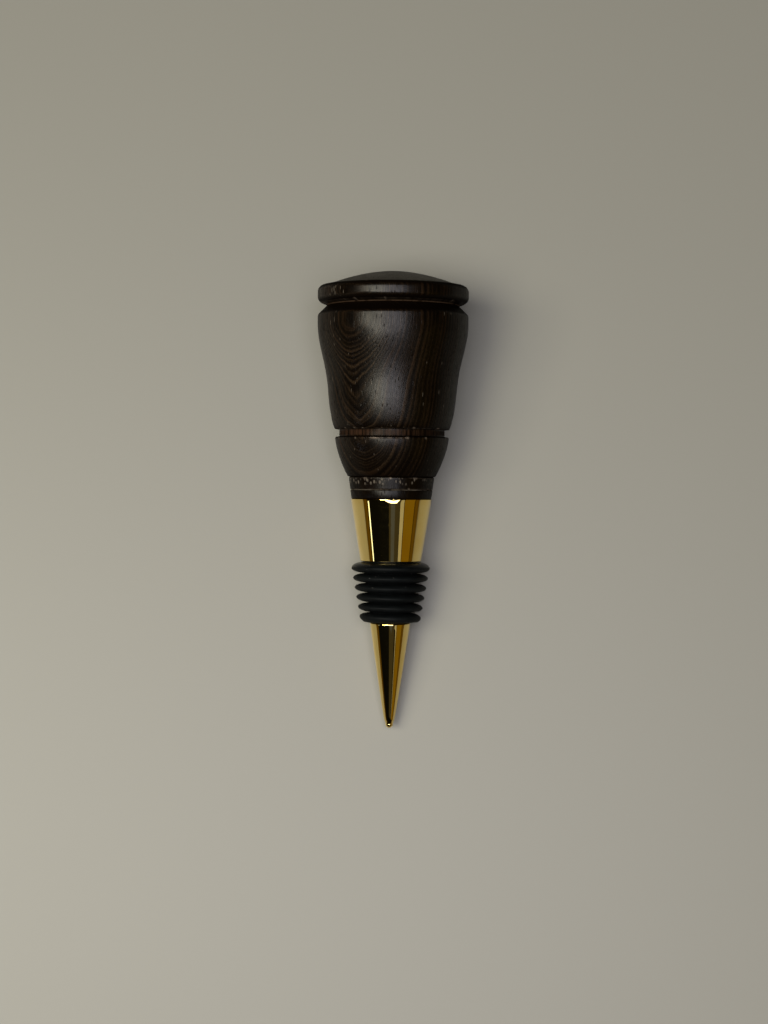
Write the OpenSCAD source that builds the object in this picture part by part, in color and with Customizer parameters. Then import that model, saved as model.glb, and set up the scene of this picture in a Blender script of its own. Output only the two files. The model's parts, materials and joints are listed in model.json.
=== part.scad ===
// Bottle stopper: a turned wooden handle on a plated metal cone with a ribbed rubber seal.
// Each piece is drawn upright on its own axis, with the tip at height zero, and the
// finished stopper is then laid on its side as it comes to rest on a table.

/* [Metal cone] */
// Diameter of the metal where the wood sits on it
seat_d = 20.6; // [19:0.1:24]
// Diameter of the metal just above the rubber
neck_d = 15.7; // [14:0.1:18]
// Length of the tapered metal above the rubber
body_len = 16.1; // [15:0.1:24]
// How far polishing has rolled over the metal's top edge
buffed_in = 0.17; // [0.05:0.01:0.3]
// Height of the rolled part of the metal's top edge
buffed_h = 1.3; // [0.6:0.1:2]
// Diameter of the waist that the rubber grips
waist_d = 8.2; // [7:0.1:8.8]
// Diameter of the point's shoulder below the rubber
point_d = 10.4; // [10:0.1:12]
// Length of the point, from shoulder to tip
point_len = 27.4; // [20:0.1:36]
// Rounding of the point's shoulder
point_round = 0.5; // [0.2:0.05:0.6]
// Radius of the rounded tip
tip_r = 0.95; // [0.6:0.05:1.4]

/* [Rubber seal] */
// Number of ribs
rib_count = 6; // [4:1:8]
// Distance from rib to rib
rib_pitch = 2.52; // [2.3:0.02:3.2]
// How far the top rib stays inside the metal's top edge, all round
rib_top_in = 0.2; // [0:0.05:1]
// Diameter across the bottom rib
rib_bottom_d = 15.84; // [15:0.01:18]
// Depth of the gaps between the ribs
rib_depth = 3; // [2:0.1:3.2]
// Width of a gap between two ribs, at its bottom
rib_gap = 0.3; // [0.15:0.05:1.2]
// Rubber above the middle of the top rib
seal_head = 1.8; // [1.6:0.1:2.4]
// Diameter of the rubber under the metal
seal_head_d = 14.4; // [13:0.1:15]
// Rubber below the middle of the bottom rib
seal_foot = 1.3; // [0.8:0.1:2]
// Diameter of the rubber on the point's shoulder
seal_foot_d = 12; // [11:0.1:14]

/* [Wooden handle] */
// Height of the collar above the metal
collar_h = 5.4; // [4:0.1:8]
// Diameter at the top of the collar
collar_d = 22; // [21:0.1:25]
// Height of the scored line above the metal
score_z = 2.35; // [1:0.05:3.2]
// Diameter of the belly at its top edge
belly_d = 29.3; // [26:0.1:33]
// Length of the belly
belly_len = 10.5; // [8:0.1:16]
// Width of the band cut above the belly
band_w = 2; // [1:0.1:3]
// Depth of that band
band_depth = 1.1; // [0.4:0.05:1.6]
// Diameter of the lip above the band
lip_d = 29.4; // [27:0.1:33]
// Diameter at the hollow of the curved side
hollow_d = 33.1; // [31:0.1:36]
// Height of the hollow above the band
hollow_z = 9.6; // [7:0.1:14]
// Diameter of the shoulder
shoulder_d = 38.84; // [37:0.02:44]
// Height of the shoulder above the hollow
shoulder_z = 17.5; // [13:0.1:24]
// Height of the upright band at the shoulder
shoulder_land = 2.2; // [1.6:0.1:4]
// Diameter at the bottom of the notch under the rim
notch_d = 33.8; // [32:0.1:36]
// Diameter of the rim
rim_d = 38.92; // [37:0.02:44]
// Height of the rim
rim_h = 4.4; // [3.6:0.1:6]
// Height of the rim's straight face
rim_face = 1.2; // [0.8:0.1:2.4]
// Height of the dome above its foot
dome_rise = 4.15; // [2:0.05:6]

/* [Stud] */
// Outside diameter of the threaded stud
stud_d = 9.525; // [8:0.005:10]
// Length of stud in the metal
stud_in_metal = 11.5; // [8:0.1:12]
// Length of stud in the wood
stud_in_wood = 15; // [10:0.1:22]
// Bevel on the ends of the stud
stud_bevel = 0.9; // [0.4:0.1:1.4]

/* [Fits] */
// Gap all round between the stud and its holes
stud_gap = 0.1; // [0.05:0.01:0.2]
// Gap beyond each end of the stud
stud_end_gap = 0.5; // [0.2:0.1:1]
// Gap all round between the rubber and the waist
seal_gap = 0.05; // [0.02:0.01:0.1]

/* [Hidden] */
$fn = 96;

// Straight pieces in each curved stretch of an outline
curve_steps = 18;
round_steps = 10;
// A drill leaves a cone of this half angle at the bottom of its hole
drill_half_angle = 59;
// Lean of the point's side from the axis, at its shoulder and at its tip
point_side = 8.6;
point_end = 20;
// How a curved side leaves its lower end and arrives at its upper end: [radius gained for
// each unit of height, share of the curve's height that it keeps to that direction]
point_low = [tan(point_end), 0.075];
point_high = [tan(point_side), 0.6];
belly_low = [0.6, 0.17];
belly_high = [0.04, 0.34];
lip_low = [0.75, 0.1];
hollow_slope = 0.075;
hollow_below = [hollow_slope, 0.44];
hollow_above = [hollow_slope, 0.43];
land_high = [0, 0.3];
// The dome's two handles, as shares of its radius inward and of its rise
dome_low = [0.36, 0.66];
dome_high = [0.715, 1];
// Height of plain rubber left between the top rib and the metal
seal_neck = 0.25;
// Bevel on the sharp edges of the wood and the metal
edge_bevel = 0.15;
// Fine V cuts in the wood: the scored line and the cuts beside collar and dome
cut_w = 0.4;
cut_depth = 0.3;
// The notch: height of its steep upper side, lean of its lower side from the axis, and the
// rounding of the corner below it
notch_side = 0.6;
notch_lean = 45;
shoulder_round = 1.3;
// How far the rim's rounded edges turn away from its straight face
rim_swing = 66;

seat_r = seat_d / 2;
neck_r = neck_d / 2;
waist_r = waist_d / 2;
rib_top_r = seat_r - rib_top_in;
rib_bottom_r = rib_bottom_d / 2;
rib_half = (rib_pitch - rib_gap) / 2;
point_r = point_d / 2;
stud_r = stud_d / 2;
stud_hole_r = stud_r + stud_gap;
drill_tip = stud_hole_r / tan(drill_half_angle);

// Heights above the tip
seal_len = seal_head + (rib_count - 1) * rib_pitch + seal_foot;
seal_z = point_len;
body_z = seal_z + seal_len;
seat_z = body_z + body_len;
collar_z = seat_z + collar_h;
belly_z = collar_z + belly_len;
band_z = belly_z + band_w;
hollow_mid = band_z + hollow_z;
land_z = hollow_mid + shoulder_z;
corner_z = land_z + shoulder_land;
notch_z = corner_z + (shoulder_d - notch_d) / 2 / tan(notch_lean);
rim_z = notch_z + notch_side + rim_h / 2;
rim_round = (rim_h - rim_face) / 2 / sin(rim_swing);

// Points of an arc and of a cubic curve, as [radius, height]
function arc(centre, r, from, to, steps) =
    [for (i = [0:steps]) let (a = from + (to - from) * i / steps) centre + r * [cos(a), sin(a)]];
function curve(a, b, c, d, steps = curve_steps) =
    [for (i = [0:steps]) let (u = i / steps, v = 1 - u)
        v^3 * a + 3 * u * v^2 * b + 3 * u^2 * v * c + u^3 * d];
// A curved side between two points, with the directions of its ends
function side_curve(from, to, low, high) =
    let (h = to[1] - from[1])
    curve(from, from + h * low[1] * [low[0], 1], to - h * high[1] * [high[0], 1], to);

// A V cut of the given height in a side that runs from one point to another
function v_cut(from, to, z) =
    let (slope = (to[0] - from[0]) / (to[1] - from[1]), r = from[0] + slope * (z - from[1]))
    [[r - slope * cut_w / 2, z - cut_w / 2], [r - cut_depth, z], [r + slope * cut_w / 2, z + cut_w / 2]];

// The metal: rounded tip, curved point, waist, tapered body and the hole for the stud
function point_outline() =
    let (
        shoulder = [point_r - point_round, point_len - point_round],
        top = shoulder + point_round * [cos(point_side), -sin(point_side)],
        end = tip_r * [cos(point_end), 1 - sin(point_end)]
    )
    concat(
        arc([0, tip_r], tip_r, -90, -point_end, round_steps),
        side_curve(end, top, point_low, point_high),
        arc(shoulder, point_round, -point_side, 90, round_steps)
    );
function body_outline() =
    let (
        slope = (seat_r + buffed_in - neck_r) / body_len,
        start = [seat_r + buffed_in - slope * buffed_h, seat_z - buffed_h]
    )
    concat(
        [[waist_r, point_len], [waist_r, body_z], [neck_r - edge_bevel, body_z],
         [neck_r + slope * edge_bevel, body_z + edge_bevel]],
        curve(start, start + buffed_h * [slope, 1] / 3, [seat_r + buffed_in / 2, seat_z - buffed_h / 3],
              [seat_r, seat_z - edge_bevel], round_steps),
        [[seat_r - edge_bevel, seat_z]]
    );
function cone_outline() = concat(
    point_outline(),
    body_outline(),
    let (bottom = seat_z - stud_in_metal - stud_end_gap)
    [[stud_hole_r, seat_z], [stud_hole_r, bottom], [0, bottom - drill_tip]]
);

// The rubber: a sleeve with half-elliptic ribs that grow from the bottom to the top
function rib_z(i) = seal_z + seal_foot + i * rib_pitch;
function rib_r(i) = rib_bottom_r + (rib_top_r - rib_bottom_r) * i / (rib_count - 1);
function rib_point(i, depth, half, a) = [rib_r(i) - depth * (1 - cos(a)), rib_z(i) + half * sin(a)];
function rib_below(i, depth, half) =
    [for (k = [-round_steps:0]) rib_point(i, depth, half, 90 * k / round_steps)];
function rib_above(i, depth, half) =
    [for (k = [1:round_steps]) rib_point(i, depth, half, 90 * k / round_steps)];
function seal_outline() =
    let (top = rib_count - 1)
    concat(
        [[waist_r + seal_gap, seal_z]],
        rib_below(0, rib_bottom_r - seal_foot_d / 2, seal_foot),
        [for (i = [0:top - 1]) each concat(rib_above(i, rib_depth, rib_half),
                                           rib_below(i + 1, rib_depth, rib_half))],
        rib_above(top, rib_top_r - seal_head_d / 2, seal_head - seal_neck),
        [[seal_head_d / 2, body_z], [waist_r + seal_gap, body_z]]
    );

// The wood, from its seat on the metal up to the dome
function collar_outline() =
    let (foot = [seat_r, seat_z], top = [collar_d / 2, collar_z])
    concat(
        [[seat_r - edge_bevel, seat_z], [seat_r, seat_z + edge_bevel]],
        v_cut(foot, top, seat_z + score_z),
        [top, [collar_d / 2 - cut_depth, collar_z + cut_w / 2]]
    );
function belly_outline() =
    let (foot = [collar_d / 2 + cut_depth, collar_z + cut_w], top = [belly_d / 2, belly_z])
    concat(
        side_curve(foot, top, belly_low, belly_high),
        [[belly_d / 2 - band_depth, belly_z + edge_bevel], [belly_d / 2 - band_depth, band_z - edge_bevel]]
    );
function side_outline() =
    let (
        lip = [lip_d / 2, band_z],
        hollow = [hollow_d / 2, hollow_mid],
        land = [shoulder_d / 2, land_z]
    )
    concat(
        side_curve(lip, hollow, lip_low, hollow_below),
        side_curve(hollow, land, hollow_above, land_high)
    );
function notch_outline() =
    let (
        corner = [shoulder_d / 2, corner_z],
        setback = shoulder_round * tan(notch_lean / 2)
    )
    concat(
        arc(corner - [shoulder_round, setback], shoulder_round, 0, notch_lean, round_steps),
        [[notch_d / 2, notch_z]]
    );
function rim_outline() =
    let (middle = [rim_d / 2 - rim_round, rim_z], half = [0, rim_face / 2])
    concat(
        arc(middle - half, rim_round, -rim_swing, 0, round_steps),
        arc(middle + half, rim_round, 0, rim_swing, round_steps)
    );
function dome_outline() =
    let (
        rim_top = [rim_d / 2 - rim_round * (1 - cos(rim_swing)), rim_z + rim_h / 2],
        foot = rim_top - [cut_w, cut_depth],
        span = [-foot[0], dome_rise]
    )
    curve(foot, foot + [dome_low[0] * span[0], dome_low[1] * span[1]],
          foot + [dome_high[0] * span[0], dome_high[1] * span[1]], foot + span);
function handle_outline() = concat(
    let (top = seat_z + stud_in_wood + stud_end_gap)
    [[0, top + drill_tip], [stud_hole_r, top], [stud_hole_r, seat_z]],
    collar_outline(), belly_outline(), side_outline(), notch_outline(), rim_outline(), dome_outline()
);

// On the table it touches at the handle and at the rubber: the slope of that common tangent
function reach(outline, slope) = max([for (p = outline) p[0] - slope * p[1]]);
function rest_slope(low, high, tries) =
    let (slope = (low + high) / 2)
    tries == 0 ? slope
    : reach(handle_outline(), slope) > reach(concat(cone_outline(), seal_outline()), slope)
    ? rest_slope(slope, high, tries - 1)
    : rest_slope(low, slope, tries - 1);
rest = rest_slope(-1, 1, 40);
lean_deg = atan(rest);
whole = concat(handle_outline(), cone_outline(), seal_outline());
y_high = max([for (p = whole) p[1] * cos(lean_deg) + p[0] * sin(lean_deg)]);
y_low = min([for (p = whole) p[1] * cos(lean_deg) - p[0] * sin(lean_deg)]);

// Lays an upright piece on the table, centred over the origin, with its tip towards -Y
module laid_down() {
    translate([0, -(y_high + y_low) / 2, reach(whole, rest) * cos(lean_deg)])
        rotate([lean_deg - 90, 0, 0])
            children();
}

module wood_handle() {
    color("#2b1a12")
        laid_down()
            rotate_extrude()
                polygon(handle_outline());
}

module threaded_stud() {
    low = seat_z - stud_in_metal;
    high = seat_z + stud_in_wood;
    color("silver")
        laid_down()
            rotate_extrude()
                polygon([
                    [0, low], [stud_r - stud_bevel, low], [stud_r, low + stud_bevel],
                    [stud_r, high - stud_bevel], [stud_r - stud_bevel, high], [0, high]
                ]);
}

module stopper_cone() {
    color("#d4a93f")
        laid_down()
            rotate_extrude()
                polygon(cone_outline());
}

module rubber_seal() {
    color("#15171a")
        laid_down()
            rotate_extrude()
                polygon(seal_outline());
}

wood_handle();
threaded_stud();
stopper_cone();
rubber_seal();
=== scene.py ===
import json
import math
import random

import bpy
from mathutils import Matrix, Vector, kdtree, noise


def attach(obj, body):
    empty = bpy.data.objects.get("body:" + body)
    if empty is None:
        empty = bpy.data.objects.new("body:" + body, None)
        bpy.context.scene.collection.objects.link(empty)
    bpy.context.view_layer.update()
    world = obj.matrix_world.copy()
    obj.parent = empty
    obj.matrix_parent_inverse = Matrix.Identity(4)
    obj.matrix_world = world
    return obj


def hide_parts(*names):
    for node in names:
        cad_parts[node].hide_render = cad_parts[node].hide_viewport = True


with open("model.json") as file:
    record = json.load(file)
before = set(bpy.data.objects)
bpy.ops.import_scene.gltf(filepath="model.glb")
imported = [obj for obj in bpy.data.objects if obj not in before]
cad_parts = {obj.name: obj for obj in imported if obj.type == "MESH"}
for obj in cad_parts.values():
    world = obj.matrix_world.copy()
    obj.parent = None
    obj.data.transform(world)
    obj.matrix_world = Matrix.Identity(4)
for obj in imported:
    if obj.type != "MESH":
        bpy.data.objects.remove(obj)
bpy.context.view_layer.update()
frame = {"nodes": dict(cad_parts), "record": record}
print("frame loaded:", ", ".join(sorted(frame["nodes"])))

mm = 0.001
mergeReach = 0.002 * mm
scene = bpy.context.scene
scene.view_settings.view_transform = "Standard"

# Heights are in mm above the tip, on the stopper's own axis
coneSizes = {
    "seatR": 10.3, "neckR": 7.85, "waistR": 4.1, "bodyLen": 16.1,
    "buffedIn": 0.17, "buffedH": 1.3,       # roll-over of the polished top edge
    "pointR": 5.2, "pointLen": 27.4, "pointRound": 0.5, "tipR": 0.95,
    "pointSide": 8.6, "pointEnd": 20,       # lean of the point's side, at its shoulder and tip
    "pointLow": 0.075, "pointHigh": 0.6, "pointSteps": 40,
    "tipBall": 0.95, "ballTurn": 2,         # plating has gathered to a slight ball on the tip
    "ballSteps": 7, "ballLow": 0.3, "ballHigh": 0.35,
    "holeR": 4.8625, "holeDepth": 12, "drillTip": 2.9217,
    "bodyRings": (0, 0.006, 0.25, 0.5, 0.75),               # shares of the body's height
    "bevel": 0.15, "softEdge": 0.06, "sides": 288,
    "rollLeast": 0.15, "rollMore": 1.15,    # buffing by hand rolls the top edge over unevenly
    "rollSpot": 3, "rollWidth": 6.5,        # degrees from straight up, where it went deepest
    "rollNoise": 0.09, "rollGrain": 0.3,
    "shoulderWave": 0.03, "waveGrain": 0.9,                 # and leaves the point's shoulder wavy
    "waveReach": 1.2, "waveFrom": 0.3,
}
sealSizes = {
    "ribs": 6, "pitch": 2.52, "gap": 0.3, "foot": 1.3, "head": 1.8, "neck": 0.25,
    "topR": 10.1, "bottomR": 7.92, "depth": 3,
    "boreR": 4.15, "footR": 6, "headR": 7.2,
    "ribWave": 0.07, "waveGrain": 1.4, "waveStep": 5.3,     # how much a rib's rim wanders
    "ribTilt": 1.4,                         # degrees by which pushing on has tilted the bottom rib
    "flatEnds": 0.2, "softEdge": 0.08, "sides": 240,
}
handleSizes = {
    "collarH": 5.4, "collarR": 11, "scoreZ": 2.35, "collarSteps": 14,
    "bellyR": 14.65, "bellyLen": 10.5, "bandW": 2, "bandDepth": 1.1,
    "bellyRound": 0.4, "lipR": 14.7, "hollowR": 16.55, "hollowZ": 9.6,
    "shoulderR": 19.42, "shoulderZ": 17.5, "shoulderLand": 2.2, "shoulderRound": 1.3,
    "notchR": 16.9, "notchLean": 45, "notchSide": 0.6,
    "rimR": 19.46, "rimH": 4.4, "rimFace": 1.2, "rimSwing": 66,
    "domeRise": 4.15, "domeIn": 0.36, "domeUp": 0.66, "domeFlat": 0.715,
    # gain in radius per unit of height, and the share of the height that keeps to it
    "bellyLow": (0.6, 0.17), "bellyHigh": (0.04, 0.34), "lipLow": (0.75, 0.1), "hollowTop": (0.075, 0.44),
    "hollowLow": (0.075, 0.43), "shoulderHigh": (0, 0.3),
    "holeR": 4.8625, "holeDepth": 15.5, "drillTip": 2.9217,
    "bevel": 0.15, "cutW": 0.4, "cutDepth": 0.3, "softEdge": 0.07,
    "sides": 320,
}
studSizes = {
    "radius": 4.7625, "inMetal": 11.5, "inWood": 15,
    "pitch": 1.5875, "threadDepth": 0.97, "crest": 0.22, "endBevel": 0.9, "endShare": 0.78,
    "sides": 48,
}

sealZ = coneSizes["pointLen"]
sealLen = sealSizes["foot"] + (sealSizes["ribs"] - 1) * sealSizes["pitch"] + sealSizes["head"]
bodyZ = sealZ + sealLen
seatZ = bodyZ + coneSizes["bodyLen"]
bodySlope = (coneSizes["seatR"] + coneSizes["buffedIn"] - coneSizes["neckR"]) / coneSizes["bodyLen"]

# The bottle mount stands in the middle of the seal and points to the tip
mount = frame["record"]["mounts"][0]
tipWay = Vector(mount["axis"]).normalized()
tip = Vector(mount["pos_m"]) + tipWay * (sealZ + sealLen / 2) * mm
lean = math.atan2(-tipWay.z, -tipWay.y)
layTurn = lean - math.pi / 2
layDown = Matrix.Translation(tip) @ Matrix.Rotation(layTurn, 4, "X")


# Outlines are lists of (radius, height) points in mm
def arcPoints(middle, radius, fromDeg, toDeg, steps):
    turns = [math.radians(fromDeg + (toDeg - fromDeg) * i / steps) for i in range(steps + 1)]
    return [(middle[0] + radius * math.cos(a), middle[1] + radius * math.sin(a)) for a in turns]


def curvePoints(a, b, c, d, steps):
    points = []
    for i in range(steps + 1):
        u = i / steps
        v = 1 - u
        points.append(tuple(v**3 * a[k] + 3 * u * v**2 * b[k] + 3 * u**2 * v * c[k] + u**3 * d[k]
                            for k in range(2)))
    return points


# low and high: radius gained per unit of height, and share of the height that keeps to it
def sidePoints(start, end, low, high, steps=26):
    h = end[1] - start[1]
    b = (start[0] + h * low[1] * low[0], start[1] + h * low[1])
    c = (end[0] - h * high[1] * high[0], end[1] - h * high[1])
    return curvePoints(start, b, c, end, steps)


def deselectAll():
    if bpy.context.object and bpy.context.object.mode != "OBJECT":
        bpy.ops.object.mode_set(mode="OBJECT")
    bpy.ops.object.select_all(action="DESELECT")


# A plane merged to one point is drawn out along the outline
def drawOutline(name, outline):
    deselectAll()
    bpy.ops.mesh.primitive_plane_add(size=mm)
    piece = bpy.context.object
    piece.name = piece.data.name = name
    bpy.ops.object.mode_set(mode="EDIT")
    bpy.ops.mesh.select_all(action="SELECT")
    bpy.ops.mesh.merge(type="CENTER")
    here = (0, 0)
    for count, point in enumerate(outline):
        step = ((point[0] - here[0]) * mm, 0, (point[1] - here[1]) * mm)
        if count == 0:
            bpy.ops.transform.translate(value=step)
        else:
            bpy.ops.mesh.extrude_region_move(TRANSFORM_OT_translate={"value": step})
        here = point
    return piece


def turnOnLathe(name, outline, sides):
    piece = drawOutline(name, outline)
    bpy.ops.mesh.select_all(action="SELECT")
    bpy.ops.mesh.spin(steps=sides, angle=math.tau, center=(0, 0, 0), axis=(0, 0, 1))
    bpy.ops.mesh.select_all(action="SELECT")
    bpy.ops.mesh.remove_doubles(threshold=mergeReach)
    bpy.ops.mesh.normals_make_consistent(inside=False)
    bpy.ops.object.mode_set(mode="OBJECT")
    return piece


def softenEdges(piece, width, angle):
    bevel = piece.modifiers.new("softEdges", "BEVEL")
    bevel.width = width * mm
    bevel.segments = 2
    bevel.limit_method = "ANGLE"
    bevel.angle_limit = math.radians(angle)
    bevel.harden_normals = False
    bpy.ops.object.modifier_apply(modifier=bevel.name)


# Lays an upright piece down in the frame and lets it stand for its solid
def layPiece(piece, node, material, smoothAngle=32):
    deselectAll()
    piece.select_set(True)
    bpy.context.view_layer.objects.active = piece
    piece.matrix_world = layDown
    bpy.ops.object.transform_apply(location=True, rotation=True, scale=True)
    bpy.ops.object.shade_smooth_by_angle(angle=math.radians(smoothAngle))
    piece.data.materials.clear()
    piece.data.materials.append(material)
    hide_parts(node)
    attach(piece, "root")
    print(piece.name, "laid down,", len(piece.data.polygons), "faces")


# Materials
def startMaterial(name):
    material = bpy.data.materials.new(name)
    material.use_nodes = True
    tree = material.node_tree
    return material, tree, tree.nodes["Principled BSDF"]


def setInputs(tree, node, inputs):
    for key, value in inputs.items():
        if isinstance(value, bpy.types.NodeSocket):
            tree.links.new(value, node.inputs[key])
        else:
            node.inputs[key].default_value = value


def addNode(tree, kind, inputs=None, **settings):
    node = tree.nodes.new("ShaderNode" + kind)
    for key, value in settings.items():
        setattr(node, key, value)
    setInputs(tree, node, inputs or {})
    return node


def addMath(tree, operation, a, b=0.0):
    return addNode(tree, "Math", {0: a, 1: b}, operation=operation).outputs[0]


def multiply(tree, a, b):
    return addMath(tree, "MULTIPLY", a, b)


def above(tree, value, limit):
    return addMath(tree, "GREATER_THAN", value, limit)


def mixValues(tree, share, a, b):
    return addNode(tree, "Mix", {0: share, 2: a, 3: b}, data_type="FLOAT").outputs[0]


def mixColours(tree, share, a, b, blend="MIX"):
    node = addNode(tree, "Mix", {0: share, 6: a, 7: b}, data_type="RGBA", blend_type=blend)
    return node.outputs[2]


def addRange(tree, value, fromLow, fromHigh, toLow=0.0, toHigh=1.0):
    node = addNode(tree, "MapRange", {"Value": value, "From Min": fromLow, "From Max": fromHigh,
                                      "To Min": toLow, "To Max": toHigh})
    return node.outputs[0]


def addAttribute(tree, name):
    return addNode(tree, "Attribute", attribute_name=name).outputs["Fac"]


# The stopper's own upright frame in mm: z runs from the tip to the dome, -y faces up
def ownFrame(tree):
    place = addNode(tree, "TexCoord").outputs["Object"]
    turned = addNode(tree, "Mapping", {"Vector": place, "Location": tip, "Rotation": (layTurn, 0, 0),
                                       "Scale": (mm, mm, mm)}, vector_type="TEXTURE")
    return turned.outputs[0]


# Grains are pairs of cells per mm, across the axis and along it
def stretch(tree, place, grain):
    across, along = grain
    node = addNode(tree, "Mapping", {"Vector": place, "Scale": (across, across, along)}, vector_type="POINT")
    return node.outputs[0]


def addNoise(tree, vector, scale, detail=2.0, rough=0.5):
    node = addNode(tree, "TexNoise", {"Vector": vector, "Scale": scale, "Detail": detail,
                                      "Roughness": rough}, noise_dimensions="3D")
    return node.outputs[0]


def addGrain(tree, place, grain, detail=2.0, rough=0.5):
    return addNoise(tree, stretch(tree, place, grain), 1.0, detail, rough)


# How hollow the pores are, and three random numbers for each of them
def addPores(tree, place, grain, edge):
    node = addNode(tree, "TexVoronoi", {"Vector": stretch(tree, place, grain), "Scale": 1.0,
                                        "Randomness": 1.0}, voronoi_dimensions="3D", feature="F1")
    picks = addNode(tree, "SeparateColor", {0: node.outputs["Color"]}).outputs
    return addRange(tree, node.outputs["Distance"], *edge), picks


# In these looks a range is from low, from high, and where given to low, to high
woodLook = {
    # degrees by which the growth layers face left of straight up, and their climb along the axis
    "layerTurn": 32, "layerClimb": 0.012,
    # mm by which they stray from flat
    "wander": 1.9, "wanderGrain": (0.085, 0.03), "ripple": 0.34, "rippleGrain": (0.35, 0.11),
    # fine lines per mm, more in the outer layers, on uneven broad ones
    "lines": 0.95, "moreLines": 2.6, "moreFrom": 13.2, "lineRange": (-0.9, 0.9, 0.0, 0.33),
    "broadScale": 0.62, "broadRange": (0.32, 0.70, 0.0, 0.60),
    # tones, and where along the lines' strength they come in
    "lineDark": (0.0022, 0.0012, 0.0006, 1), "brown": (0.0085, 0.0052, 0.0026, 1),
    "paleBrown": (0.0290, 0.0178, 0.0092, 1), "toneStops": (0.28, 0.58, 0.95),
    # redder wood in patches and on the right, where painted shade also makes it darker
    "redBrown": (0.0150, 0.0058, 0.0024, 1), "patchGrain": (0.11, 0.035), "patchRange": (0.48, 0.68),
    "redRight": (0, 12, 0.0, 0.85), "redLines": (0.48, 0.84), "paintedShadeRight": (2, 10, 1.0, 0.5),
    # fibres run along the axis
    "fibreGrain": (4.2, 0.28), "fibreRange": (0.25, 0.75, -0.17, 0.17),
    "fineGrain": (8, 0.5), "fineShade": (0.28, 0.72, 0.45, 1.55),
    # and so do pores, of which a few are filled with pale dust; the same pale colour paints a highlight on
    # the rim's left end
    "poreGrain": (2.4, 0.36), "poreEdge": (0.30, 0.16), "openFrom": 0.62, "openDark": 0.75,
    "paleFleckAndHighlight": (0.16, 0.135, 0.105, 1), "filledFrom": 0.962, "filledShare": 0.42,
    # the collar is darker and duller, with short pale flecks near its top
    "collarEdge": 0.1, "collarDark": 0.85, "collarFinish": 0.75,
    "shortGrain": (1.35, 0.75), "shortEdge": (0.46, 0.24), "shortFrom": 0.45,
    "shortDrop": 0.85, "shortHalf": 1.1, "shortShare": 0.6,
    # painted highlight: pale pores at the left end of the rim
    "rimHalf": 2.0, "rimShare": 0.8, "rimLeft": (-11, -13), "rimFrom": 0.2,
    # end grain, dark in the cuts, where the near-black darkening is also painted shade, and sanded on the
    # dome, which starts this far above the rim's middle
    "endRange": (0.22, 0.62), "endDarkAndShade": 0.95, "endPale": (0.062, 0.052, 0.038, 1),
    "domeStart": 2.0, "domeFull": 2.4, "domePore": 0.8,
    "domeLines": (0.25, 0.85, 0.2, 0.75), "domeFine": (0.3, 0.7, 0.5, 1.3),
    # the band's floor, its pale streaks faded towards the right by painted shade
    "groove": (0.033, 0.0165, 0.0090, 1), "streakGrain": (1.45, 0.07),
    "streakRange": (0.40, 0.60, 0.04, 1.0), "streakShadeRight": (2, 8, 1.0, 0.3),
    # a pale line along the notch and dust in the scored line, with gaps, and raw wood where an edge is worn,
    # which on the belly's top edge is also a painted highlight
    "notchPaleLine": (0.048, 0.030, 0.018, 1), "notchHalf": 0.17, "notchGaps": (0.30, 0.50),
    "scoreDust": (0.105, 0.090, 0.068, 1), "scoreHalf": 0.13, "scoreGaps": (0.36, 0.56),
    "gapGrain": (0.5, 0.1), "rawWoodAndHighlight": (0.16, 0.125, 0.095, 1),
    # relief in mm and each part's share of it
    "relief": 0.03, "reliefStrength": 0.8, "lineRelief": 0.5, "poreRelief": 0.8, "fineRelief": 0.35,
    # a thin oil finish, sunk in along the fibres
    "roughness": (0.25, 0.75, 0.60, 0.48), "dryRoughness": 0.75,
    "finish": 0.37, "dryFinish": 0.08, "finishRoughness": 0.28, "finishFine": (0.3, 0.7, 0.62, 1.3),
    "sunkGrain": (0.22, 0.10), "sunkRange": (0.3, 0.6, 0.8, 1.1),
    # share of a ring's half width that shows in full
    "ringCore": 0.4,
}


# A line round the axis at one height, with gaps or a strength of its own
def addRing(tree, height, at, half, strength):
    far = addMath(tree, "ABSOLUTE", addMath(tree, "SUBTRACT", height, at))
    return multiply(tree, addRange(tree, far, half, half * woodLook["ringCore"]), strength)


# Growth layers are near flat, so a turned swell shows them as nested loops
def addGrowthLines(tree, place):
    look = woodLook
    face = math.radians(look["layerTurn"])
    layers = (-math.sin(face), -math.cos(face), look["layerClimb"])
    depth = addNode(tree, "VectorMath", {0: place, 1: layers}, operation="DOT_PRODUCT").outputs["Value"]
    wander = addGrain(tree, place, look["wanderGrain"], 1.5)
    wander = addRange(tree, wander, 0, 1, -look["wander"] / 2, look["wander"] / 2)
    ripple = multiply(tree, addGrain(tree, place, look["rippleGrain"]), look["ripple"])
    depth = addMath(tree, "ADD", depth, wander)
    depth = addMath(tree, "ADD", depth, ripple)
    outer = addMath(tree, "MAXIMUM", addMath(tree, "SUBTRACT", depth, look["moreFrom"]), 0.0)
    count = multiply(tree, depth, look["lines"])
    count = addMath(tree, "ADD", count, multiply(tree, outer, look["moreLines"]))
    wave = addMath(tree, "SINE", multiply(tree, count, math.tau))
    uneven = addNode(tree, "TexNoise", {"W": count, "Scale": look["broadScale"], "Detail": 4.0,
                                        "Roughness": 0.72}, noise_dimensions="1D").outputs[0]
    broad = addRange(tree, uneven, *look["broadRange"])
    return addMath(tree, "ADD", broad, addRange(tree, wave, *look["lineRange"]))


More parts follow.
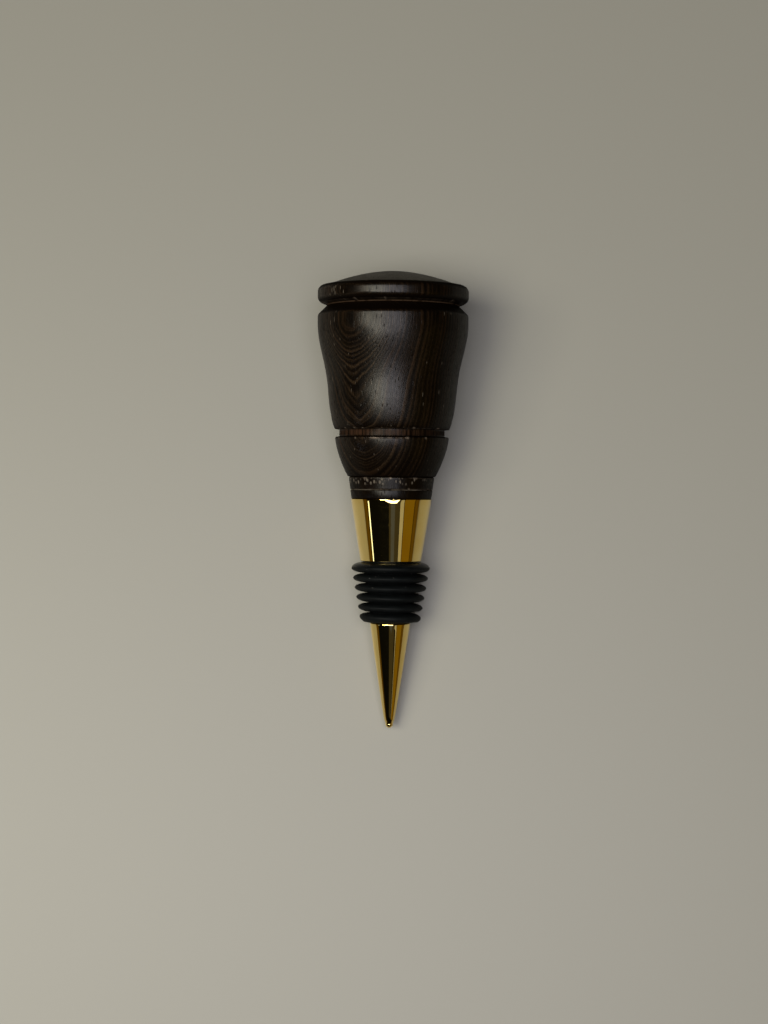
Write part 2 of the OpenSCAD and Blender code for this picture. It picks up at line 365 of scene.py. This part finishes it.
def addWoodTone(tree, place, right, lines, fine):
    look = woodLook
    ramp = addNode(tree, "ValToRGB", {"Fac": lines})
    stops = ramp.color_ramp.elements
    dark, middle, pale = look["toneStops"]
    stops[0].position = dark
    stops[0].color = look["lineDark"]
    stops[1].position = pale
    stops[1].color = look["paleBrown"]
    stops.new(middle).color = look["brown"]
    patch = addRange(tree, addGrain(tree, place, look["patchGrain"], 1.0), *look["patchRange"])
    patch = addMath(tree, "MAXIMUM", patch, addRange(tree, right, *look["redRight"]))
    red = multiply(tree, patch, addRange(tree, lines, *look["redLines"]))
    colour = mixColours(tree, red, ramp.outputs[0], look["redBrown"])
    shade = addRange(tree, fine, *look["fineShade"])
    # painted shade: darker towards the wood's right side
    shade = multiply(tree, shade, addRange(tree, right, *look["paintedShadeRight"]))
    grey = addNode(tree, "CombineColor", {k: shade for k in range(3)}).outputs[0]
    return mixColours(tree, 1.0, colour, grey, "MULTIPLY")


def makeDarkWood():
    look = woodLook
    material, tree, shader = startMaterial("darkWood")
    place = ownFrame(tree)
    parts = addNode(tree, "SeparateXYZ", {0: place}).outputs
    right = parts[0]
    height = parts[2]
    fibre = addGrain(tree, place, look["fibreGrain"], 3.0, 0.6)
    fine = addGrain(tree, place, look["fineGrain"], 2.0, 0.6)
    lines = addMath(tree, "ADD", addGrowthLines(tree, place), addRange(tree, fibre, *look["fibreRange"]))
    colour = addWoodTone(tree, place, right, lines, fine)
    hollow, picks = addPores(tree, place, look["poreGrain"], look["poreEdge"])
    openPore = multiply(tree, hollow, above(tree, picks[0], look["openFrom"]))
    filled = multiply(tree, hollow, above(tree, picks[1], look["filledFrom"]))
    colour = mixColours(tree, multiply(tree, openPore, look["openDark"]), colour, look["lineDark"])
    colour = mixColours(tree, multiply(tree, filled, look["filledShare"]), colour, look["paleFleckAndHighlight"])
    # collar and its flecks, and the painted highlight at the rim's left end
    collar = addRange(tree, height, collarZ + look["collarEdge"], collarZ - look["collarEdge"])
    colour = mixColours(tree, multiply(tree, collar, look["collarDark"]), colour, look["lineDark"])
    short, shortPicks = addPores(tree, place, look["shortGrain"], look["shortEdge"])
    short = multiply(tree, short, above(tree, shortPicks[0], look["shortFrom"]))
    underTop = addRing(tree, height, collarZ - look["shortDrop"], look["shortHalf"], look["shortShare"])
    # painted highlight: pale pores on the rim's left end only
    paintedRimHighlight = addRing(tree, height, rimZ, look["rimHalf"], look["rimShare"])
    paintedRimHighlight = multiply(tree, paintedRimHighlight, addRange(tree, right, *look["rimLeft"]))
    paintedRimHighlight = multiply(tree, paintedRimHighlight, above(tree, picks[2], look["rimFrom"]))
    flecksAndRimHighlight = addMath(tree, "MAXIMUM", multiply(tree, short, underTop), multiply(tree, paintedRimHighlight, hollow))
    colour = mixColours(tree, flecksAndRimHighlight, colour, look["paleFleckAndHighlight"])
    # cut across, the fibres drink in the finish and look darker and duller; the near-black darkening also
    # paints shade into the notch and the other cuts
    endGrainAndShade = addRange(tree, addAttribute(tree, "endGrainAndShade"), *look["endRange"])
    colour = mixColours(tree, multiply(tree, endGrainAndShade, look["endDarkAndShade"]), colour, look["lineDark"])
    # the sanded dome is finished again, over growth lines and pores cut straight across
    onDome = addRange(tree, height, rimZ + look["domeStart"], rimZ + look["domeFull"])
    cutLine = addRange(tree, lines, *look["domeLines"])
    cutLine = multiply(tree, cutLine, addRange(tree, fine, *look["domeFine"]))
    closed = addMath(tree, "SUBTRACT", 1.0, multiply(tree, openPore, look["domePore"]))
    cutLine = multiply(tree, cutLine, closed)
    colour = mixColours(tree, multiply(tree, onDome, cutLine), colour, look["endPale"])
    # the band's floor kept less finish, a pale line runs along the notch and fine dust lies in the scored
    # line
    inBand = addRing(tree, height, (bellyZ + bandZ) / 2, handleSizes["bandW"] / 2, 1.0)
    streak = addRange(tree, addGrain(tree, place, look["streakGrain"], 3.0, 0.62), *look["streakRange"])
    # painted shade: the pale streaks fade towards the right side
    streak = multiply(tree, streak, addRange(tree, right, *look["streakShadeRight"]))
    colour = mixColours(tree, multiply(tree, inBand, streak), colour, look["groove"])
    gaps = addGrain(tree, place, look["gapGrain"])
    # a pale line along the notch bottom, with gaps
    inNotch = addRing(tree, height, notchZ, look["notchHalf"], addRange(tree, gaps, *look["notchGaps"]))
    scoreAt = seatZ + handleSizes["scoreZ"]
    inScore = addRing(tree, height, scoreAt, look["scoreHalf"], addRange(tree, gaps, *look["scoreGaps"]))
    colour = mixColours(tree, inNotch, colour, look["notchPaleLine"])
    colour = mixColours(tree, inScore, colour, look["scoreDust"])
    # raw wood at chips and worn edges, and a painted highlight on the belly's top edge
    colour = mixColours(tree, addAttribute(tree, "wearAndHighlight"), colour, look["rawWoodAndHighlight"])
    # relief, and the finish on top of it
    dry = multiply(tree, endGrainAndShade, addMath(tree, "SUBTRACT", 1.0, onDome))
    dry = addMath(tree, "MAXIMUM", dry, inBand)
    rough = mixValues(tree, dry, addRange(tree, fibre, *look["roughness"]), look["dryRoughness"])
    relief = multiply(tree, lines, look["lineRelief"])
    relief = addMath(tree, "SUBTRACT", relief, multiply(tree, openPore, look["poreRelief"]))
    relief = addMath(tree, "ADD", relief, multiply(tree, fine, look["fineRelief"]))
    bump = addNode(tree, "Bump", {"Height": relief, "Strength": look["reliefStrength"],
                                  "Distance": look["relief"] * mm}).outputs[0]
    sunk = addRange(tree, addGrain(tree, place, look["sunkGrain"]), *look["sunkRange"])
    finish = multiply(tree, addRange(tree, fine, *look["finishFine"]), sunk)
    bare = addMath(tree, "MAXIMUM", dry, openPore)
    finish = multiply(tree, finish, addRange(tree, bare, 0, 1, look["finish"], look["dryFinish"]))
    finish = multiply(tree, finish, addRange(tree, collar, 0, 1, 1.0, look["collarFinish"]))
    setInputs(tree, shader, {
        "Base Color": colour, "Roughness": rough, "Normal": bump, "Specular IOR Level": 0.0,
        "Coat Weight": finish, "Coat Roughness": look["finishRoughness"], "Coat Normal": bump,
    })
    return material


goldLook = {
    "colour": (0.94, 0.735, 0.295, 1), "deepColour": (0.90, 0.66, 0.22, 1),
    "cloudScale": 0.16, "cloudRange": (0.35, 0.65),
    "smearGrain": (0.5, 1.6), "roughness": (0.3, 0.75, 0.025, 0.055),
    # long ripples, turning marks and one small dent
    "ripple": 0.0022, "rippleGrain": (0.33, 0.2), "latheGrain": (0.15, 9.0), "latheShare": 0.05,
    "dent": (-0.35, -9.1, 52.7), "dentReach": 0.5, "dentDepth": 4.5,
}


def makeGoldPlate():
    look = goldLook
    material, tree, shader = startMaterial("goldPlate")
    place = ownFrame(tree)
    cloud = addRange(tree, addNoise(tree, place, look["cloudScale"], 3.0), *look["cloudRange"])
    smear = addGrain(tree, place, look["smearGrain"], 3.0, 0.6)
    rippled = addGrain(tree, place, look["rippleGrain"], 1.0)
    lathe = addGrain(tree, place, look["latheGrain"])
    height = addMath(tree, "ADD", rippled, multiply(tree, lathe, look["latheShare"]))
    far = addNode(tree, "VectorMath", {0: place, 1: look["dent"]}, operation="DISTANCE").outputs["Value"]
    dent = addRange(tree, far, 0, look["dentReach"], look["dentDepth"], 0.0)
    height = addMath(tree, "SUBTRACT", height, dent)
    bump = addNode(tree, "Bump", {"Height": height, "Strength": 1.0, "Distance": look["ripple"] * mm})
    setInputs(tree, shader, {
        "Base Color": mixColours(tree, cloud, look["colour"], look["deepColour"]), "Metallic": 1.0,
        "Roughness": addRange(tree, smear, *look["roughness"]), "Normal": bump.outputs[0],
    })
    return material


rubberLook = {
    "colour": (0.0022, 0.0030, 0.0034, 1), "bloom": (0.0040, 0.0051, 0.0056, 1),
    "cloudScale": 0.45, "bloomRange": (0.35, 0.7), "roughness": (0.3, 0.7, 0.54, 0.66),
    "dust": (0.22, 0.21, 0.19, 1), "dustShare": 0.8,
    "speckGrain": (1.3, 1.3), "speckEdge": (0.15, 0.06), "speckFrom": 0.93,
    # the top rib is glossier where the metal has pressed on it, from this far above its rim
    "topRoughness": 0.24, "pressedStart": 0.1, "pressedFull": 0.6,
    "skinScale": 9.0, "skin": 0.008, "skinStrength": 0.4, "ior": 1.2,
}


def makeBlackRubber():
    look = rubberLook
    material, tree, shader = startMaterial("blackRubber")
    place = ownFrame(tree)
    cloud = addNoise(tree, place, look["cloudScale"], 3.0)
    speck, picks = addPores(tree, place, look["speckGrain"], look["speckEdge"])
    dust = multiply(tree, speck, above(tree, picks[0], look["speckFrom"]))
    colour = mixColours(tree, addRange(tree, cloud, *look["bloomRange"]), look["colour"], look["bloom"])
    colour = mixColours(tree, multiply(tree, dust, look["dustShare"]), colour, look["dust"])
    height = addNode(tree, "SeparateXYZ", {0: place}).outputs[2]
    topRib = ribHeight(sealSizes["ribs"] - 1)
    pressed = addRange(tree, height, topRib + look["pressedStart"], topRib + look["pressedFull"])
    rough = mixValues(tree, pressed, addRange(tree, cloud, *look["roughness"]), look["topRoughness"])
    skin = addNoise(tree, place, look["skinScale"])
    bump = addNode(tree, "Bump", {"Height": skin, "Strength": look["skinStrength"],
                                  "Distance": look["skin"] * mm})
    setInputs(tree, shader, {"Base Color": colour, "Roughness": rough, "Normal": bump.outputs[0],
                             "IOR": look["ior"]})
    return material


studLook = {
    "colour": (0.58, 0.58, 0.57, 1), "blue": (0.50, 0.53, 0.58, 1),
    "cloudScale": 0.6, "blueRange": (0.35, 0.65), "roughness": (0.3, 0.7, 0.24, 0.42),
}


def makeStudSteel():
    look = studLook
    material, tree, shader = startMaterial("studSteel")
    cloud = addNoise(tree, ownFrame(tree), look["cloudScale"], 3.0)
    colour = mixColours(tree, addRange(tree, cloud, *look["blueRange"]), look["colour"], look["blue"])
    setInputs(tree, shader, {"Base Color": colour, "Metallic": 1.0,
                             "Roughness": addRange(tree, cloud, *look["roughness"])})
    return material


# The metal: rounded tip, curved point, waist for the seal, tapered body, hole for the stud
def coneOutline():
    s = coneSizes
    shoulder = (s["pointR"] - s["pointRound"], s["pointLen"] - s["pointRound"])
    side, end = math.radians(s["pointSide"]), math.radians(s["pointEnd"])
    top = (shoulder[0] + s["pointRound"] * math.cos(side), shoulder[1] - s["pointRound"] * math.sin(side))
    low = (s["tipR"] * math.cos(end), s["tipR"] * (1 - math.sin(end)))
    slope = bodySlope
    roll = (s["seatR"] + s["buffedIn"] - slope * s["buffedH"], seatZ - s["buffedH"])
    outline = arcPoints((0, s["tipBall"]), s["tipBall"], -90, s["ballTurn"], 20)
    point = sidePoints(low, top, (math.tan(end), s["pointLow"]), (math.tan(side), s["pointHigh"]),
                       s["pointSteps"])
    # the ball takes the place of the first steps and runs smoothly into the rest
    point = point[s["ballSteps"]:]
    narrow = -math.tan(math.radians(s["ballTurn"]))
    widen = (point[1][0] - point[0][0]) / (point[1][1] - point[0][1])
    outline += sidePoints(outline[-1], point[0], (narrow, s["ballLow"]), (widen, s["ballHigh"]), 12)[1:]
    outline += point[1:]
    outline += arcPoints(shoulder, s["pointRound"], -s["pointSide"], 90, 12)[1:]
    outline += [(s["waistR"], s["pointLen"]), (s["waistR"], bodyZ), (s["neckR"] - s["bevel"], bodyZ)]
    foot = (s["neckR"] + slope * s["bevel"], bodyZ + s["bevel"])
    body = (roll[0] - foot[0], roll[1] - foot[1])
    outline += [(foot[0] + body[0] * i, foot[1] + body[1] * i) for i in s["bodyRings"]]
    outline += curvePoints(roll, (roll[0] + s["buffedH"] * slope / 3, roll[1] + s["buffedH"] / 3),
                           (s["seatR"] + s["buffedIn"] / 2, seatZ - s["buffedH"] / 3),
                           (s["seatR"], seatZ - s["bevel"]), 14)
    bottom = seatZ - s["holeDepth"]
    outline += [(s["seatR"] - s["bevel"], seatZ), (s["holeR"], seatZ)]
    outline += [(s["holeR"], bottom), (0, bottom - s["drillTip"])]
    return outline


def makeStopperCone():
    s = coneSizes
    piece = turnOnLathe("stopperCone", coneOutline(), s["sides"])
    softenEdges(piece, s["softEdge"], 28)
    waveZ = s["pointLen"] - s["waveReach"] * s["pointRound"]
    for vertex in piece.data.vertices:
        height = vertex.co.z / mm
        radius = math.hypot(vertex.co.x, vertex.co.y) / mm
        straight = s["neckR"] + bodySlope * (height - bodyZ)
        if waveZ < height < s["pointLen"] and radius > s["waistR"] + s["waveFrom"]:
            vertex.co.z += s["shoulderWave"] * noise.noise(vertex.co / mm * s["waveGrain"]) * mm
        if height > seatZ - s["buffedH"] and radius > s["seatR"] - s["bevel"] / 2:
            fromTop = math.degrees(math.atan2(vertex.co.x, -vertex.co.y))
            deep = s["rollMore"] * math.exp(-((fromTop - s["rollSpot"]) / s["rollWidth"])**2)
            deep += s["rollNoise"] * noise.noise(vertex.co / mm * s["rollGrain"])
            rolled = straight - (straight - radius) * (s["rollLeast"] + deep)
            vertex.co.x *= rolled / radius
            vertex.co.y *= rolled / radius
    layPiece(piece, "stopper_cone", makeGoldPlate(), 30)


# The rubber: a sleeve with half-elliptic ribs that grow from the bottom to the top
def ribHeight(i):
    return sealZ + sealSizes["foot"] + i * sealSizes["pitch"]


def ribRadius(height):
    s = sealSizes
    share = (height - ribHeight(0)) / ((s["ribs"] - 1) * s["pitch"])
    return s["bottomR"] + (s["topR"] - s["bottomR"]) * share


# One side of a rib, from fromDeg to toDeg round its rim
def ribSide(i, depth, half, fromDeg, toDeg, steps=14):
    z = ribHeight(i)
    turns = [math.radians(fromDeg + (toDeg - fromDeg) * k / steps) for k in range(steps + 1)]
    return [(ribRadius(z) - depth * (1 - math.cos(a)), z + half * math.sin(a)) for a in turns]


def sealOutline():
    s = sealSizes
    half = (s["pitch"] - s["gap"]) / 2
    outline = [(s["boreR"], sealZ)]
    for i in range(s["ribs"]):
        if i == 0:
            outline += ribSide(i, s["bottomR"] - s["footR"], s["foot"], -90, 0)
        else:
            outline += ribSide(i, s["depth"], half, -90, 0)
        if i == s["ribs"] - 1:
            outline += ribSide(i, s["topR"] - s["headR"], s["head"] - s["neck"], 0, 90)[1:]
        else:
            outline += ribSide(i, s["depth"], half, 0, 90)[1:]
    outline += [(s["headR"], bodyZ), (s["boreR"], bodyZ), (s["boreR"], sealZ)]
    return outline


def makeRubberSeal():
    s = sealSizes
    piece = turnOnLathe("rubberSeal", sealOutline(), s["sides"])
    softenEdges(piece, s["softEdge"], 40)
    tilt = math.tan(math.radians(s["ribTilt"]))
    top = s["ribs"] - 1
    for vertex in piece.data.vertices:
        height = vertex.co.z / mm
        radius = math.hypot(vertex.co.x, vertex.co.y) / mm
        reach = (radius - (ribRadius(height) - s["depth"])) / s["depth"]
        if reach > 0 and sealZ + s["flatEnds"] < height < bodyZ - s["flatEnds"]:
            rib = min(top, round((height - ribHeight(0)) / s["pitch"]))
            angle = math.atan2(vertex.co.y, vertex.co.x)
            spot = (math.cos(angle) * s["waveGrain"], math.sin(angle) * s["waveGrain"], rib * s["waveStep"])
            vertex.co.z += noise.noise(Vector(spot)) * s["ribWave"] * min(reach, 1)**2 * mm
            vertex.co.z -= vertex.co.x * tilt * (top - rib) / top * min(reach, 1)
    layPiece(piece, "rubber_seal", makeBlackRubber(), 40)


# The wood, from its seat on the metal up to the dome
collarZ = seatZ + handleSizes["collarH"]
bellyZ = collarZ + handleSizes["bellyLen"]
bandZ = bellyZ + handleSizes["bandW"]
hollowMid = bandZ + handleSizes["hollowZ"]
landZ = hollowMid + handleSizes["shoulderZ"]
cornerZ = landZ + handleSizes["shoulderLand"]
notchDepth = handleSizes["shoulderR"] - handleSizes["notchR"]
notchZ = cornerZ + notchDepth / math.tan(math.radians(handleSizes["notchLean"]))
rimZ = notchZ + handleSizes["notchSide"] + handleSizes["rimH"] / 2
rimTurn = math.radians(handleSizes["rimSwing"])
rimRound = (handleSizes["rimH"] - handleSizes["rimFace"]) / 2 / math.sin(rimTurn)


def handleOutline():
    s = handleSizes
    seatR = coneSizes["seatR"]
    top = seatZ + s["holeDepth"]
    outline = [(0, top + s["drillTip"]), (s["holeR"], top), (s["holeR"], seatZ)]
    # collar with its scored line
    slope = (s["collarR"] - seatR) / s["collarH"]
    score = (seatR + slope * s["scoreZ"], seatZ + s["scoreZ"])
    half = s["cutW"] / 2
    outline += [(seatR - s["bevel"], seatZ), (seatR, seatZ + s["bevel"]),
                (score[0] - slope * half, score[1] - half), (score[0] - s["cutDepth"], score[1]),
                (score[0] + slope * half, score[1] + half)]
    upper = collarZ - outline[-1][1]
    for i in range(1, s["collarSteps"] + 1):
        below = upper * (1 - i / s["collarSteps"])
        outline.append((s["collarR"] - slope * below, collarZ - below))
    outline.append((s["collarR"] - s["cutDepth"], collarZ + half))
    # belly, band groove, hollow side and shoulder
    outline += sidePoints((s["collarR"] + s["cutDepth"], collarZ + s["cutW"]), (s["bellyR"], bellyZ),
                          s["bellyLow"], s["bellyHigh"])
    # sanding has softened the belly's top edge
    worn = s["bellyRound"]
    outline = [point for point in outline if point[1] < bellyZ - worn or point[0] <= s["holeR"]]
    outline += arcPoints((s["bellyR"] - worn, bellyZ - worn), worn, 2, 82, 8)
    band = s["bellyR"] - s["bandDepth"]
    outline += [(band, bellyZ + s["bevel"]), (band, bandZ - s["bevel"])]
    hollow = (s["hollowR"], hollowMid)
    outline += sidePoints((s["lipR"], bandZ), hollow, s["lipLow"], s["hollowTop"])
    outline += sidePoints(hollow, (s["shoulderR"], landZ), s["hollowLow"], s["shoulderHigh"])[1:]
    # rounded corner, notch, rim bead and dome
    setback = s["shoulderRound"] * math.tan(math.radians(s["notchLean"] / 2))
    outline += arcPoints((s["shoulderR"] - s["shoulderRound"], cornerZ - setback), s["shoulderRound"],
                         0, s["notchLean"], 12)
    outline.append((s["notchR"], notchZ))
    bead = arcPoints((s["rimR"] - rimRound, rimZ - s["rimFace"] / 2), rimRound, -s["rimSwing"], 0, 14)
    bead += arcPoints((s["rimR"] - rimRound, rimZ + s["rimFace"] / 2), rimRound, 0, s["rimSwing"], 14)
    foot = (bead[-1][0] - s["cutW"], bead[-1][1] - s["cutDepth"])
    apex = (0, foot[1] + s["domeRise"])
    outline += bead
    outline += curvePoints(foot, (foot[0] * (1 - s["domeIn"]), foot[1] + s["domeUp"] * s["domeRise"]),
                           (foot[0] * (1 - s["domeFlat"]), apex[1]), apex, 30)
    return outline


# Small chips and rubbing along the turned edges show the raw wood; on the belly's top edge the rubbing is
# also a painted highlight
chipLook = {
    "seed": 11, "reach": (0.22, 0.5), "depth": (0.03, 0.10), "raw": (0.3, 0.8),
    "edgeReach": 0.14, "rubAndHighlightLeast": 0.5, "rubAndHighlightGrain": 0.8,
}


# Each edge: radius, height, chips, how rubbed it is, and between which degrees from straight up; on the
# belly's top edge this paints a highlight as well
def chipEdges(piece, edges):
    look = chipLook
    draw = random.Random(look["seed"])
    vertices = piece.data.vertices
    near = kdtree.KDTree(len(vertices))
    for vertex in vertices:
        near.insert(vertex.co, vertex.index)
    near.balance()
    wearAndHighlight = piece.data.attributes.new("wearAndHighlight", "FLOAT", "POINT")
    # how far each point faces along the axis: end grain, and where painted shade darkens the wood
    endGrainAndShade = piece.data.attributes.new("endGrainAndShade", "FLOAT", "POINT")
    for vertex in vertices:
        endGrainAndShade.data[vertex.index].value = abs(vertex.normal.z)
    for radius, height, count, rubAndHighlight, sector in edges:
        for chip in range(count):
            angle = draw.uniform(0, math.tau)
            at = Vector((radius * math.cos(angle), radius * math.sin(angle), height)) * mm
            reach = draw.uniform(*look["reach"]) * mm
            depth = draw.uniform(*look["depth"]) * mm
            for co, index, far in near.find_range(at, reach):
                fall = (1 - (far / reach)**2)**2
                inward = Vector((-co.x, -co.y, 0)).normalized()
                vertices[index].co += inward * depth * fall
                wearAndHighlight.data[index].value = min(1.0, wearAndHighlight.data[index].value + fall * draw.uniform(*look["raw"]))
    for vertex in vertices:
        radius = math.hypot(vertex.co.x, vertex.co.y) / mm
        height = vertex.co.z / mm
        fromTop = math.degrees(math.atan2(vertex.co.x, -vertex.co.y))
        for edgeR, edgeZ, count, rubAndHighlight, sector in edges:
            far = math.hypot(radius - edgeR, height - edgeZ)
            if far < look["edgeReach"] and sector[0] < fromTop < sector[1]:
                rubbedAndHighlight = look["rubAndHighlightLeast"] + noise.noise(vertex.co / mm * look["rubAndHighlightGrain"])
                wearAndHighlight.data[vertex.index].value += max(0, rubbedAndHighlight) * rubAndHighlight * (1 - far / look["edgeReach"])


def makeWoodHandle():
    s = handleSizes
    piece = turnOnLathe("woodHandle", handleOutline(), s["sides"])
    softenEdges(piece, s["softEdge"], 28)
    beadEnd = s["rimR"] - rimRound * (1 - math.cos(rimTurn))
    scoreR = coneSizes["seatR"] + (s["collarR"] - coneSizes["seatR"]) * s["scoreZ"] / s["collarH"]
    allRound = (-180, 180)
    chipEdges(piece, [
        # painted highlight as well as worn wood: the belly's top edge is rubbed pale only near straight up
        (s["bellyR"], bellyZ - s["bellyRound"], 14, 1.1, (-26, 9)),
        (s["lipR"], bandZ, 18, 0.2, allRound),
        (s["collarR"], collarZ, 12, 0.15, allRound),
        (scoreR, seatZ + s["scoreZ"] + s["cutW"] / 2, 8, 0.2, allRound),
        (beadEnd, rimZ - s["rimH"] / 2, 14, 0.1, allRound),
        (beadEnd, rimZ + s["rimH"] / 2, 10, 0.1, allRound),
    ])
    layPiece(piece, "wood_handle", makeDarkWood(), 30)


# The stud's thread is one pitch of its outline, wound up and cut off flat at both ends
def makeThreadedStud():
    s = studSizes
    low = seatZ - s["inMetal"] + s["endBevel"]
    high = seatZ + s["inWood"] - s["endBevel"]
    rootR = s["radius"] - s["threadDepth"]
    flank = (s["pitch"] - 2 * s["crest"]) / 2
    start = low - 2 * s["pitch"]
    turns = math.ceil((high - start) / s["pitch"]) + 1
    piece = drawOutline("threadedStud", [
        (rootR, start), (rootR, start + s["crest"]), (s["radius"], start + s["crest"] + flank),
        (s["radius"], start + 2 * s["crest"] + flank), (rootR, start + s["pitch"]),
    ])
    bpy.ops.object.mode_set(mode="OBJECT")
    wind = piece.modifiers.new("wind", "SCREW")
    wind.axis = "Z"
    wind.angle = math.tau
    wind.screw_offset = s["pitch"] * mm
    wind.iterations = turns
    wind.steps = wind.render_steps = s["sides"]
    wind.use_merge_vertices = True
    wind.merge_threshold = mergeReach
    bpy.ops.object.modifier_apply(modifier=wind.name)
    bpy.ops.object.mode_set(mode="EDIT")
    bpy.ops.mesh.select_all(action="SELECT")
    bpy.ops.mesh.remove_doubles(threshold=mergeReach)
    for height, way, grow in ((low, -1, -s["endBevel"]), (high, 1, s["endBevel"])):
        bpy.ops.mesh.select_all(action="SELECT")
        bpy.ops.mesh.bisect(plane_co=(0, 0, height * mm), plane_no=(0, 0, way), use_fill=True,
                            clear_outer=True)
        bpy.ops.mesh.extrude_region_move(TRANSFORM_OT_translate={"value": (0, 0, grow * mm)})
        bpy.ops.transform.resize(value=(s["endShare"], s["endShare"], 1),
                                 center_override=(0, 0, (height + grow) * mm))
    bpy.ops.mesh.select_all(action="SELECT")
    bpy.ops.mesh.normals_make_consistent(inside=False)
    bpy.ops.object.mode_set(mode="OBJECT")
    layPiece(piece, "threaded_stud", makeStudSteel(), 35)


makeStopperCone()
makeRubberSeal()
makeWoodHandle()
makeThreadedStud()

# Floor, light and camera
floorLook = {"size": 16, "colour": (0.262, 0.260, 0.230, 1), "roughness": 0.46, "sheen": 0.5}


def makeFloor():
    deselectAll()
    bpy.ops.mesh.primitive_plane_add(size=floorLook["size"])
    floor = bpy.context.object
    floor.name = "floor"
    material, tree, shader = startMaterial("paleFloor")
    setInputs(tree, shader, {"Base Color": floorLook["colour"], "Roughness": floorLook["roughness"],
                             "Specular IOR Level": floorLook["sheen"]})
    floor.data.materials.append(material)


# Each lamp: degrees from straight up to the right, distance, place along the stopper, size of its
# panel across and along the stopper in metres, radiance and colour
lamps = {
    "overheadLeft": {"angle": -24.6, "far": 1.15, "along": -0.155, "size": (0.38, 0.57), "light": 9.0,
                     "colour": (1.0, 0.95, 0.79)},
    "overheadFar": {"angle": -40.5, "far": 1.15, "along": -0.03, "size": (0.24, 0.30), "light": 8.5,
                    "colour": (1.0, 0.93, 0.74)},
    "overheadRight": {"angle": 0.3, "far": 1.0, "along": -0.175, "size": (0.60, 0.55), "light": 4.2,
                      "colour": (0.98, 0.95, 1.0)},
    "leftStrip": {"angle": -71.7, "far": 0.21, "along": -0.078, "size": (0.012, 0.037), "light": 2.2,
                  "colour": (0.78, 0.87, 1.0)},
    "coolPanel": {"angle": 5.5, "far": 1.05, "along": -0.50, "size": (0.24, 0.28), "light": 0.062,
                  "colour": (0.28, 0.45, 1.0)},
    "brownPanel": {"angle": 10, "far": 1.12, "along": -0.66, "size": (0.70, 0.56), "light": 0.03,
                   "colour": (1.0, 0.85, 0.5)},
    "palePanel": {"angle": 34.5, "far": 1.0, "along": -0.40, "size": (0.21, 0.32), "light": 0.28,
                  "colour": (1.0, 0.96, 0.84)},
    "paleEdge": {"angle": 37, "far": 1.0, "along": -0.67, "size": (0.07, 0.25), "light": 0.22,
                 "colour": (1.0, 0.96, 0.84)},
    "amberPanel": {"angle": 58.5, "far": 0.95, "along": -0.39, "size": (0.56, 0.80), "light": 0.13,
                   "colour": (1.0, 0.59, 0.012)},
}
lampMiddle = 0.014     # height of the stopper's middle, which the lamps turn about
worldLook = {"dark": (0.0035, 0.0036, 0.0036, 1), "low": (0.09, 0.052, 0.004, 1), "rim": (0.18, 0.26)}


def makeLight():
    for name, lamp in lamps.items():
        turn = math.radians(lamp["angle"])
        deselectAll()
        bpy.ops.object.light_add(type="AREA", rotation=(0, turn, 0), location=(
            math.sin(turn) * lamp["far"], lamp["along"], math.cos(turn) * lamp["far"] + lampMiddle))
        light = bpy.context.object
        light.name = name
        light.data.shape = "RECTANGLE"
        light.data.size, light.data.size_y = lamp["size"]
        light.data.energy = lamp["light"] * 4 * lamp["size"][0] * lamp["size"][1]
        light.data.color = lamp["colour"]
        light.visible_camera = False
    world = bpy.data.worlds.new("room")
    scene.world = world
    world.use_nodes = True
    tree = world.node_tree
    way = addNode(tree, "SeparateXYZ", {0: addNode(tree, "TexCoord").outputs["Generated"]}).outputs[2]
    low, high = worldLook["rim"]
    sky = mixColours(tree, addRange(tree, way, low, high), worldLook["low"], worldLook["dark"])
    setInputs(tree, tree.nodes["Background"], {0: sky})


# The photo looks down on the lying stopper from a little towards its tip
cameraSpot = {
    "target": (-1.86, -3.21, 12), "rise": 82.3, "far": 520, "roll": 0.55,
    "lens": 70.8, "sensor": 36, "clip": (0.01, 40),
}


def makeCamera():
    spot = cameraSpot
    target = Vector(spot["target"]) * mm
    rise = math.radians(spot["rise"])
    back = Vector((0, -math.cos(rise), math.sin(rise)))
    deselectAll()
    bpy.ops.object.camera_add(location=target + back * spot["far"] * mm)
    camera = bpy.context.object
    roll = Matrix.Rotation(math.radians(spot["roll"]), 3, "Z")
    turn = (-back).to_track_quat("-Z", "Y").to_matrix() @ roll
    camera.rotation_euler = turn.to_euler()
    camera.data.lens = spot["lens"]
    camera.data.sensor_width = spot["sensor"]
    camera.data.clip_start, camera.data.clip_end = spot["clip"]
    scene.camera = camera


makeFloor()
makeLight()
makeCamera()
print("floor, light and camera set")
